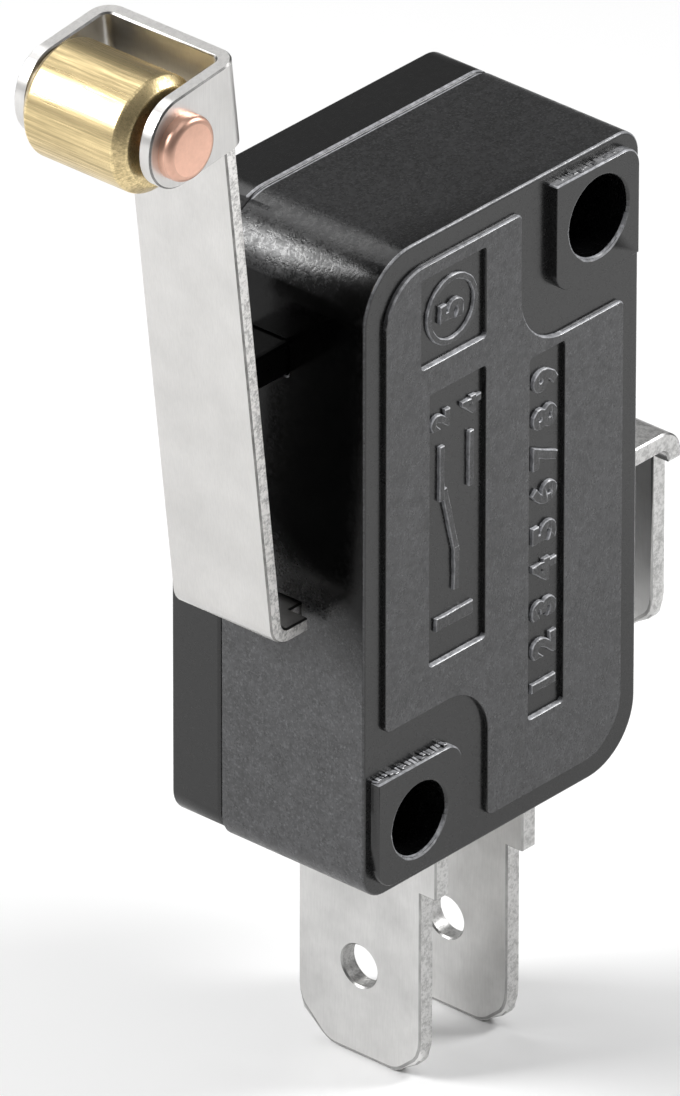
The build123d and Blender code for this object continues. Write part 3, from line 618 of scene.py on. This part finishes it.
class SWITCH_OT_housing(bpy.types.Operator):
    """Case and cover with eased edges"""

    bl_idname = "switch.housing"
    bl_label = "Housing"

    def execute(self, context):
        sizes = context.scene.switch_sizes
        skin = 0.25

        def outside(edge):
            """True on the relief, the rims of the holes and the outer edges."""
            return all(v.co.y < front_face + skin or v.co.y > cover_high.y - skin
                       or v.co.x < case_low.x + skin or v.co.x > case_high.x - skin
                       or v.co.z < case_low.z + skin or v.co.z > case_high.z - skin
                       for v in edge.verts)

        def faces_up(edge):
            """True where the eased edge will face up or to the right."""
            middle = (edge.link_faces[0].normal + edge.link_faces[1].normal).normalized()
            return outside(edge) and self.upward(middle) > 0.3

        for node, name in (("case", "case_moulding"), ("cover", "cover_moulding")):
            shape = merged_copy(node)
            ease_edges(shape, sizes.housing_edge / MM, faces_up)
            ease_edges(shape, sizes.crisp_edge / MM, outside)
            self.polish(shape, whole=node == "cover")
            self.shade_lever_side(shape)
            self.light_upper_edges(shape)
            as_piece(shape, name, "black_plastic", "body", [node])
        return {"FINISHED"}

    def upward(self, normal):
        """How far a face turns to the light from above and from the right."""
        return max(normal.z, 0.8 * normal.x, 0.0)

    def polish(self, shape, whole):
        """Marks the faces that a polished mould left, and those it left only half polished."""
        half = 0.62
        layer = shape.faces.layers.float.new(POLISH)
        for face in shape.faces:
            centre = face.calc_center_median()
            in_hole = any(math.hypot(centre.x - x, centre.z - z) < HOLE_REACH for x, z in HOLES)
            panel = face.normal.y < -0.9 and abs(centre.y - front_face + PANEL_HEIGHT) < 0.03
            if whole or in_hole or centre.y < front_face + 0.02 and not panel:
                face[layer] = 1.0
            elif face.normal.z > 0.2 and not panel:
                face[layer] = half

    def in_field(self, centre):
        """True on the panel's walls well inside its outline, where the sunk fields lie."""
        x, z = centre.x - body_left, centre.z - body_bottom
        return (FIELDS_ACROSS[0] < x < FIELDS_ACROSS[1] and FIELDS_UP[0] < z < FIELDS_UP[1]
                and abs(centre.y - front_face + PANEL_HEIGHT / 2) < 0.08)

    def shade_lever_side(self, shape):
        """Paints shade on the lever side and on the front of the large round over it, where the lever's
        shadow
        falls: SHADE rises slowly there, and the plastic turns darker, smoother and less reflective."""
        layer = shape.verts.layers.float.new(SHADE)
        for far in (0.0, SHADE_REACH):
            self.cut(shape, self.on_lever_side, SHADE_START + SHADE_ACROSS * far, SHADE_ACROSS)
        depth = cover_low.y - front_face
        for part in ROUND_CUTS:
            self.cut(shape, self.on_large_round, Vector((0.0, front_face + part * depth, 0.0)),
                     Vector((0, 1, 0)))
        for face in shape.faces:
            if self.on_large_round(face):
                for vert in face.verts:
                    up = (vert.co.z - case_high.z + LARGE_ROUND) / LARGE_ROUND
                    front = 1.0 - (vert.co.y - front_face) / depth
                    vert[layer] = min(1.0, max(0.0, 2.6 * (front - 0.25) - 1.3 * up))
        for face in shape.faces:
            if self.on_lever_side(face):
                for vert in face.verts:
                    vert[layer] = min(1.0, max(0.0, (vert.co - SHADE_START).dot(SHADE_ACROSS) / SHADE_REACH))

    def cut(self, shape, chosen, point, direction):
        """Cuts the chosen faces along a plane."""
        sides = [f for f in shape.faces if chosen(f)]
        around = dict.fromkeys([v for f in sides for v in f.verts] + [e for f in sides for e in f.edges])
        bmesh.ops.bisect_plane(shape, geom=sides + list(around), plane_co=point, plane_no=direction)

    def on_lever_side(self, face):
        """True on the flat outer side that the lever lies over."""
        return face.normal.x < -0.95 and face.calc_center_median().x < body_left + 0.1

    def on_large_round(self, face):
        """True on the large round between the lever side and the top."""
        out = face.calc_center_median() - top_round
        return (out.x < 0 < out.z and math.hypot(out.x, out.z) > LARGE_ROUND - 0.08
                and abs(face.normal.y) < 0.3)

    def light_upper_edges(self, shape):
        """Keeps the rubbed tone only on edges and relief walls that face up, scaled by how far they turn to
        the light: a painted highlight.
        """
        gain, on_seam, on_fillet, on_field, on_relief = 1.5, 0.65, 0.6, 0.9, 0.35
        layer = shape.faces.layers.float[EDGE]
        for face in shape.faces:
            centre = face.calc_center_median()
            upward = self.upward(face.normal)
            relief = case_low.y + 0.05 < centre.y < front_face - 0.02 and abs(face.normal.y) < 0.5
            fillet = front_face < centre.y < front_face + 0.12 and -0.95 < face.normal.y < -0.1
            rim = centre.y < case_low.y + 0.08 and 0.2 < -face.normal.y < 0.9
            seam = abs(centre.y - cover_low.y) < 0.2
            if face[layer] > 0 or fillet or rim:
                face[layer] = min(1.0, gain * upward) * (on_seam if seam else on_fillet if fillet else 1.0)
            elif relief:
                face[layer] = (on_field if self.in_field(centre) else on_relief) * upward


class SWITCH_OT_marks(bpy.types.Operator):
    """Raised digits and contact symbol in the sunk fields, and the flash at the pads"""

    bl_idname = "switch.marks"
    bl_label = "Raised marks"

    def execute(self, context):
        sizes = context.scene.switch_sizes
        self.height = sizes.mark_height / MM
        self.floor = front_face + 0.02
        marks = bmesh.new()
        for digit, size, x, z in SYMBOL_DIGITS:
            self.write(marks, digit, size, x, z)
        for start, end in SYMBOL_LINES:
            self.stroke(marks, start, end)
        for spot in range(9):
            self.write(marks, str(spot + 1), ROW_DIGIT, ROW_ACROSS, ROW_START + spot * ROW_PITCH)
        self.ring(marks)
        self.write(marks, "5", RING_DIGIT, *RING_PLACE)
        self.roughen(marks, sizes.mark_wander / MM)
        as_piece(marks, "raised_marks", "black_plastic", "body", smooth_angle=math.radians(20))
        self.flash()
        return {"FINISHED"}

    def write(self, marks, digit, size, x, z):
        """Digit that reads upwards, centred on a point of the body."""
        curve = bpy.data.curves.new("digits", "FONT")
        curve.body = digit
        curve.size = size
        curve.align_x = "CENTER"
        curve.align_y = "CENTER"
        curve.resolution_u = 4
        curve.offset = 0.04 * size
        curve.extrude = self.height / 2
        curve.bevel_depth = self.height / 4
        curve.bevel_resolution = 0
        holder = placed("digits", curve)
        bpy.context.view_layer.update()
        drawn = holder.evaluated_get(bpy.context.evaluated_depsgraph_get())
        mesh = bpy.data.meshes.new_from_object(drawn)
        turn = Matrix(((0, -1, 0, body_left + x), (0, 0, -1, self.floor - self.height / 2),
                       (1, 0, 0, body_bottom + z), (0, 0, 0, 1)))
        mesh.transform(turn)
        marks.from_mesh(mesh)
        bpy.data.objects.remove(holder)
        bpy.data.curves.remove(curve)
        bpy.data.meshes.remove(mesh)

    def stroke(self, marks, start, end):
        """Straight raised line between two points of the body, a little higher than the digits."""
        higher = 1.4
        run = Vector((end[0] - start[0], 0, end[1] - start[1]))
        middle = Vector((body_left + (start[0] + end[0]) / 2, self.floor - self.height / 2,
                         body_bottom + (start[1] + end[1]) / 2))
        made = bmesh.ops.create_cube(marks, size=1.0)["verts"]
        bmesh.ops.scale(marks, vec=(LINE_WIDTH, self.height * higher, run.length + LINE_WIDTH), verts=made)
        bmesh.ops.rotate(marks, cent=(0, 0, 0), verts=made,
                         matrix=Matrix.Rotation(math.atan2(run.x, run.z), 3, "Y"))
        bmesh.ops.translate(marks, vec=middle, verts=made)
        edges = dict.fromkeys(e for v in made for e in v.link_edges)
        rounded(marks, list(edges), self.height / 4, 1)

    def ring(self, marks):
        """Raised ring round a digit."""
        facets = 40
        centre = Vector((body_left + RING_PLACE[0], self.floor, body_bottom + RING_PLACE[1]))
        slope = self.height / 4
        low, high = 0.05, -self.height
        inner, outer = RING_RADIUS - RING_LINE, RING_RADIUS + RING_LINE
        profile = [(low, inner), (high + slope, inner), (high, inner + slope),
                   (high, outer - slope), (high + slope, outer), (low, outer)]
        made = turned(profile, centre, facets)
        mesh = bpy.data.meshes.new("ring")
        made.to_mesh(mesh)
        made.free()
        marks.from_mesh(mesh)
        bpy.data.meshes.remove(mesh)

    def roughen(self, marks, wander):
        """Lets the edges stray as worn engraving does, and gives their sides the rubbed tone, raised as
        painted highlight where they face up.
        """
        longest, waves_per_mm, half_polished, seed = 0.5, 4.3, 0.3, 7
        long_edges = [e for e in marks.edges if e.calc_length() > longest]
        bmesh.ops.subdivide_edges(marks, edges=long_edges, cuts=4)
        field_noise.seed_set(seed)  # left alone, it follows the clock
        for vert in marks.verts:
            shift = field_noise.noise_vector(vert.co * waves_per_mm) * wander
            vert.co += Vector((shift.x, shift.y * 0.6, shift.z))
        marks.normal_update()
        edge = marks.faces.layers.float.new(EDGE)
        polish = marks.faces.layers.float.new(POLISH)
        for face in marks.faces:
            face[polish] = half_polished
            if abs(face.normal.y) < 0.97:
                face[edge] = min(1.0, 0.45 + 1.3 * max(0.0, face.normal.z, 0.8 * face.normal.x))

    def flash(self):
        """Ragged rest of the moulding along the upper edge of each pad."""
        pick = random.Random(7)
        low_pad = Vector((body_left, 0, body_bottom)) + PAD_INSET
        high_pad = Vector((case_high.x, 0, case_high.z)) - PAD_INSET
        low_start = Vector((low_pad.x, 0, low_pad.z + PAD_SIZE.z))
        high_start = Vector((high_pad.x - PAD_SIZE.x + 0.5, 0, high_pad.z))
        sunk = 0.04
        for name, start, length, reach, light in (("lower_pad_flash", low_start, 3.9, 0.09, 1.1),
                                                  ("upper_pad_flash", high_start, 3.2, 0.02, 0.3)):
            shape = bmesh.new()
            done = 0.0
            while done < length:
                step = pick.uniform(0.14, 0.30)
                rise = pick.uniform(0.3, 1.0) * reach
                depth = pick.uniform(0.5, 0.95) * PAD_HEIGHT
                made = bmesh.ops.create_cube(shape, size=1.0)["verts"]
                bmesh.ops.scale(shape, vec=(step * 0.8, depth, rise + sunk), verts=made)
                bmesh.ops.rotate(shape, cent=(0, 0, 0), verts=made,
                                 matrix=Matrix.Rotation(pick.uniform(-0.25, 0.25), 3, "X"))
                bmesh.ops.translate(shape, verts=made, vec=(
                    start.x + done + step / 2, front_face - depth / 2 + 0.03, start.z + (rise - sunk) / 2))
                done += step
            shape.normal_update()
            ease_edges(shape, 0.02)
            edge = shape.faces.layers.float[EDGE]
            polish = shape.faces.layers.float.new(POLISH)
            for face in shape.faces:
                face[polish] = 1.0
                # Painted highlight: the edge tone rises on faces that face up
                face[edge] = min(1.0, light * (0.25 * face[edge] + max(0.0, face.normal.z)))
            as_piece(shape, name, "black_plastic", "body")


class SWITCH_OT_plunger(bpy.types.Operator):
    """Plunger in its smooth plastic"""

    bl_idname = "switch.plunger"
    bl_label = "Plunger"

    def execute(self, context):
        shape = merged_copy("plunger")
        polish = shape.faces.layers.float.new(POLISH)
        for face in shape.faces:
            face[polish] = 1.0
        as_piece(shape, "plunger_moulding", "plunger_plastic", "plunger", ["plunger"])
        return {"FINISHED"}


class SWITCH_OT_lever(bpy.types.Operator):
    """Bent lever sheet with eased edges, rounder ears and a foot darkened by painted shade"""

    bl_idname = "switch.lever"
    bl_label = "Lever"

    def execute(self, context):
        sizes = context.scene.switch_sizes
        shape = merged_copy("roller_lever")
        self.open_head(shape, sizes.near_ear / MM, sizes.far_ear / MM, sizes.ear_round / MM)
        ease_edges(shape, sizes.sheet_edge / MM)
        mark_cuts(shape, self.punched)
        # Painted shade: the foot near the case takes the dark edge tone, as if in the lever's shadow
        edge = shape.faces.layers.float[EDGE]
        for face in shape.faces:
            if face.calc_center_median().x > case_low.x - FOOT_OUT:
                face[edge] = 1.0
        as_piece(shape, "lever_sheet", "lever_steel", "lever", ["roller_lever"])
        return {"FINISHED"}

    def punched(self, face):
        """Rough on the sides of the strip, less so on the rim of the head, smooth elsewhere."""
        along = (face.calc_center_median() - roller_axis()).dot(STRIP_UP)
        if abs(face.normal.y) > 0.9 and along < -STRIP_TOP:
            return 1.0
        return 0.35 if abs(face.normal.dot(STRIP_UP)) > 0.9 else 0.0

    def open_head(self, shape, near, far, radius):
        """Moves the two ears apart and draws their lower edges and ends in towards the roller's axis."""
        low, high = box_mm("roller_lever")
        middle = (low.y + high.y) / 2
        drawn = (high.y - low.y) / 2 - 2 * SHEET
        shrink = 1 - radius / SOLID_EAR
        for vert in shape.verts:
            offset = vert.co - roller_axis()
            along = offset.dot(STRIP_UP)
            out = offset.dot(STRIP_OUT)
            aside = vert.co.y - middle
            if along < -SOLID_EAR - 0.01 or abs(aside) < drawn:
                continue
            beside_strip = abs(abs(aside) - STRIP_HALF) < 0.02 and out < SHEET - STRIP_TO_AXIS
            if along < 0:
                vert.co -= STRIP_UP * along * shrink
            if out > 0:
                vert.co -= STRIP_OUT * out * shrink
            if not beside_strip:
                vert.co.y += far if aside > 0 else -near


class SWITCH_OT_roller(bpy.types.Operator):
    """Roller and the rivet that carries it"""

    bl_idname = "switch.roller"
    bl_label = "Roller and rivet"

    def execute(self, context):
        sizes = context.scene.switch_sizes
        nearer, further = sizes.near_ear / MM, sizes.far_ear / MM
        self.roller(sizes, further)
        self.rivet(sizes, nearer, further)
        return {"FINISHED"}

    def roller(self, sizes, further):
        """Roller, longer than the solid by as much as the far ear stands further out."""
        low, high = box_mm("roller")
        near, far = (low.y - high.y) / 2, (high.y - low.y) / 2 + further
        outer = (high.x - low.x) / 2
        chamfer, bore = 0.42, 0.8
        profile = [(near, bore), (near, outer - chamfer), (near + chamfer, outer), (far - chamfer, outer),
                   (far, outer - chamfer), (far, bore)]
        shape = turned(profile, roller_axis(), sizes.turned_steps)
        ease_edges(shape, sizes.turned_edge / MM, segments=3)
        as_piece(shape, "roller_turned", "roller_brass", "roller", ["roller"])

    def rivet(self, sizes, nearer, further):
        """Rivet with a wide head on the near ear and a small one on the far ear."""
        centre = roller_axis()
        low, high = box_mm("roller_pin")
        near, far = low.y - centre.y - nearer, high.y - centre.y + further
        low, high = box_mm("roller_lever")
        near_ear, far_ear = low.y - centre.y - nearer, high.y - centre.y + further
        head, shank, tail = sizes.rivet_head / MM / 2, 0.75, 1.2
        profile = [(near, 0.0), (near, head), (near_ear, head), (near_ear, shank),
                   (far_ear, shank), (far_ear, tail), (far, tail), (far, 0.0)]
        shape = turned(profile, centre, sizes.turned_steps)

        def rims(edge):
            """True on the outer rims of the two heads."""
            return all(abs(v.co.y - centre.y - near) < 0.01 or abs(v.co.y - centre.y - far) < 0.01
                       for v in edge.verts)

        ease_edges(shape, sizes.pin_round / MM, rims, segments=5)
        as_piece(shape, "roller_rivet", "pin_copper", "lever", ["roller_pin"])


class SWITCH_OT_terminals(bpy.types.Operator):
    """The three tinned terminals"""

    bl_idname = "switch.terminals"
    bl_label = "Terminals"

    def execute(self, context):
        sizes = context.scene.switch_sizes
        for kind in ("common", "normally_closed", "normally_open"):
            shape = merged_copy(f"{kind}_terminal")
            self.reshape_tip(shape, box_mm(f"{kind}_terminal"), sizes.tip_round / MM)
            ease_edges(shape, sizes.sheet_edge / MM)
            mark_cuts(shape, lambda face: 1.0 if abs(face.normal.x) < 0.3 else 0.0)
            as_piece(shape, f"{kind}_blade", "tab_metal", "body", [f"{kind}_terminal"])
        return {"FINISHED"}

    def reshape_tip(self, shape, box, rounding):
        """Draws the tip's four corners to their true places and rounds them."""
        close = 0.3
        tip, back = box[0].z, box[1].y
        front = back - TAB_WIDTH
        moves = (((front, tip + SOLID_CUT[1]), (front, tip + FRONT_CUT[1])),
                 ((front + SOLID_CUT[0], tip), (front + FRONT_CUT[0], tip)),
                 ((back - SOLID_CUT[0], tip), (back - BACK_CUT[0], tip)),
                 ((back, tip + SOLID_CUT[1]), (back, tip + BACK_CUT[1])))
        corners = [set() for _ in moves]
        for vert in shape.verts:
            for (start, end), members in zip(moves, corners):
                if math.hypot(vert.co.y - start[0], vert.co.z - start[1]) < close:
                    vert.co.y += end[0] - start[0]
                    vert.co.z += end[1] - start[1]
                    members.add(vert)
                    break
        across = [e for e in shape.edges if any(all(v in members for v in e.verts) for members in corners)]
        rounded(shape, across, rounding, 3)
        shape.normal_update()


class SWITCH_OT_mechanism(bpy.types.Operator):
    """Contacts, arm, trip lever, spring and bracket inside the housing"""

    bl_idname = "switch.mechanism"
    bl_label = "Mechanism"

    def execute(self, context):
        slots = {s["node"]: s["material_slot"] for s in frame["record"]["subparts"]}
        for node in ("normally_closed_contact", "normally_open_contact", "moving_contact", "contact_arm",
                     "trip_lever", "snap_spring", "pivot_bracket", "bracket_rivets"):
            dress_node(node, slots[node])
        return {"FINISHED"}


class SWITCH_OT_stage(bpy.types.Operator):
    """Pale floor, soft light and the camera"""

    bl_idname = "switch.stage"
    bl_label = "Stage"

    def execute(self, context):
        self.floor()
        self.light(context)
        self.camera(context)
        return {"FINISHED"}

    def floor(self):
        """Pale floor under the tabs' tips."""
        shape = bmesh.new()
        bmesh.ops.create_grid(shape, x_segments=1, y_segments=1, size=2.0)
        bmesh.ops.translate(shape, vec=(0, 0, cad_box[0].z), verts=shape.verts)
        mesh = bpy.data.meshes.new("studio_floor")
        shape.to_mesh(mesh)
        shape.free()
        floor = placed("studio_floor", mesh)
        material = bpy.data.materials.new("pale_floor")
        material.use_nodes = True
        shader = material.node_tree.nodes["Principled BSDF"]
        shader.inputs["Base Color"].default_value = (0.93, 0.93, 0.93, 1.0)
        shader.inputs["Roughness"].default_value = 0.9
        mesh.materials.append(material)

    def light(self, context):
        """Plain sky and four softboxes: direction, distance and size in metres, and power in watts."""
        studio = context.scene.switch_studio
        world = bpy.data.worlds.new("plain_sky")
        world.use_nodes = True
        sky = world.node_tree.nodes["Background"]
        sky.inputs["Color"].default_value = (1.0, 1.0, 1.0, 1.0)
        sky.inputs["Strength"].default_value = studio.sky
        context.scene.world = world
        context.scene.view_settings.view_transform = "Standard"
        centre = (cad_box[0] + cad_box[1]) / 2
        for name, way, distance, size, power in (
                ("key_softbox", (-0.60, 0.58, 0.56), 0.45, 0.19, 1.85),
                ("back_softbox", (0.17, 0.58, 0.79), 0.50, 0.26, 0.42),
                ("front_softbox", (0.65, -0.50, 0.60), 0.105, 0.030, 0.060),
                ("top_softbox", (0.0, -0.15, 1.0), 0.60, 0.50, 0.65)):
            lamp = bpy.data.lights.new(name, "AREA")
            lamp.shape = "SQUARE"
            lamp.size = size
            lamp.energy = power
            holder = placed(name, lamp)
            way = Vector(way).normalized()
            holder.location = centre + way * distance
            holder.rotation_euler = way.to_track_quat("Z", "Y").to_euler()

    def camera(self, context):
        """Camera aimed near the middle of the housing."""
        studio = context.scene.switch_studio
        back = Vector((-math.sin(studio.azimuth) * math.cos(studio.elevation),
                       -math.cos(studio.azimuth) * math.cos(studio.elevation), math.sin(studio.elevation)))
        level = Vector((math.cos(studio.azimuth), -math.sin(studio.azimuth), 0))
        rise = back.cross(level)
        right = level * math.cos(studio.roll) + rise * math.sin(studio.roll)
        up = rise * math.cos(studio.roll) - level * math.sin(studio.roll)
        housing = (Vector((body_left, front_face, body_bottom)) + HALF_BODY) * MM
        place = housing + right * studio.aim_right + up * studio.aim_up + back * studio.distance
        camera = bpy.data.cameras.new("photo_camera")
        camera.lens = studio.lens
        camera.sensor_width = 36
        camera.clip_start = 0.05
        camera.clip_end = 20
        holder = placed("photo_camera", camera)
        turn = Matrix((right, up, back)).transposed().to_4x4()
        holder.matrix_world = Matrix.Translation(place) @ turn
        context.scene.camera = holder


class SWITCH_PT_panel(bpy.types.Panel):
    """Sizes, colours and steps of the switch"""

    bl_label = "Micro Switch"
    bl_idname = "SWITCH_PT_panel"
    bl_space_type = "VIEW_3D"
    bl_region_type = "UI"
    bl_category = "Micro Switch"

    def draw(self, context):
        for label in GROUPS:
            group = getattr(context.scene, label)
            box = self.layout.box()
            for name in group.bl_rna.properties.keys():
                if name not in ("rna_type", "name"):
                    box.prop(group, name)
        for step in STEPS:
            self.layout.operator(step.bl_idname)


STEPS = (SWITCH_OT_housing, SWITCH_OT_marks, SWITCH_OT_plunger, SWITCH_OT_lever, SWITCH_OT_roller,
         SWITCH_OT_terminals, SWITCH_OT_mechanism, SWITCH_OT_stage)
GROUPS = {"switch_sizes": SwitchSizes, "switch_colours": SwitchColours, "switch_studio": SwitchStudio}


def register():
    for made in (*GROUPS.values(), *STEPS, SWITCH_PT_panel):
        bpy.utils.register_class(made)
    for name, group in GROUPS.items():
        setattr(bpy.types.Scene, name, PointerProperty(type=group))


def unregister():
    for name in GROUPS:
        delattr(bpy.types.Scene, name)
    for made in reversed((*GROUPS.values(), *STEPS, SWITCH_PT_panel)):
        bpy.utils.unregister_class(made)


def main():
    """Runs every step in order."""
    register()
    for step in STEPS:
        getattr(bpy.ops.switch, step.bl_idname.split(".")[1])()


if __name__ == "__main__":
    main()
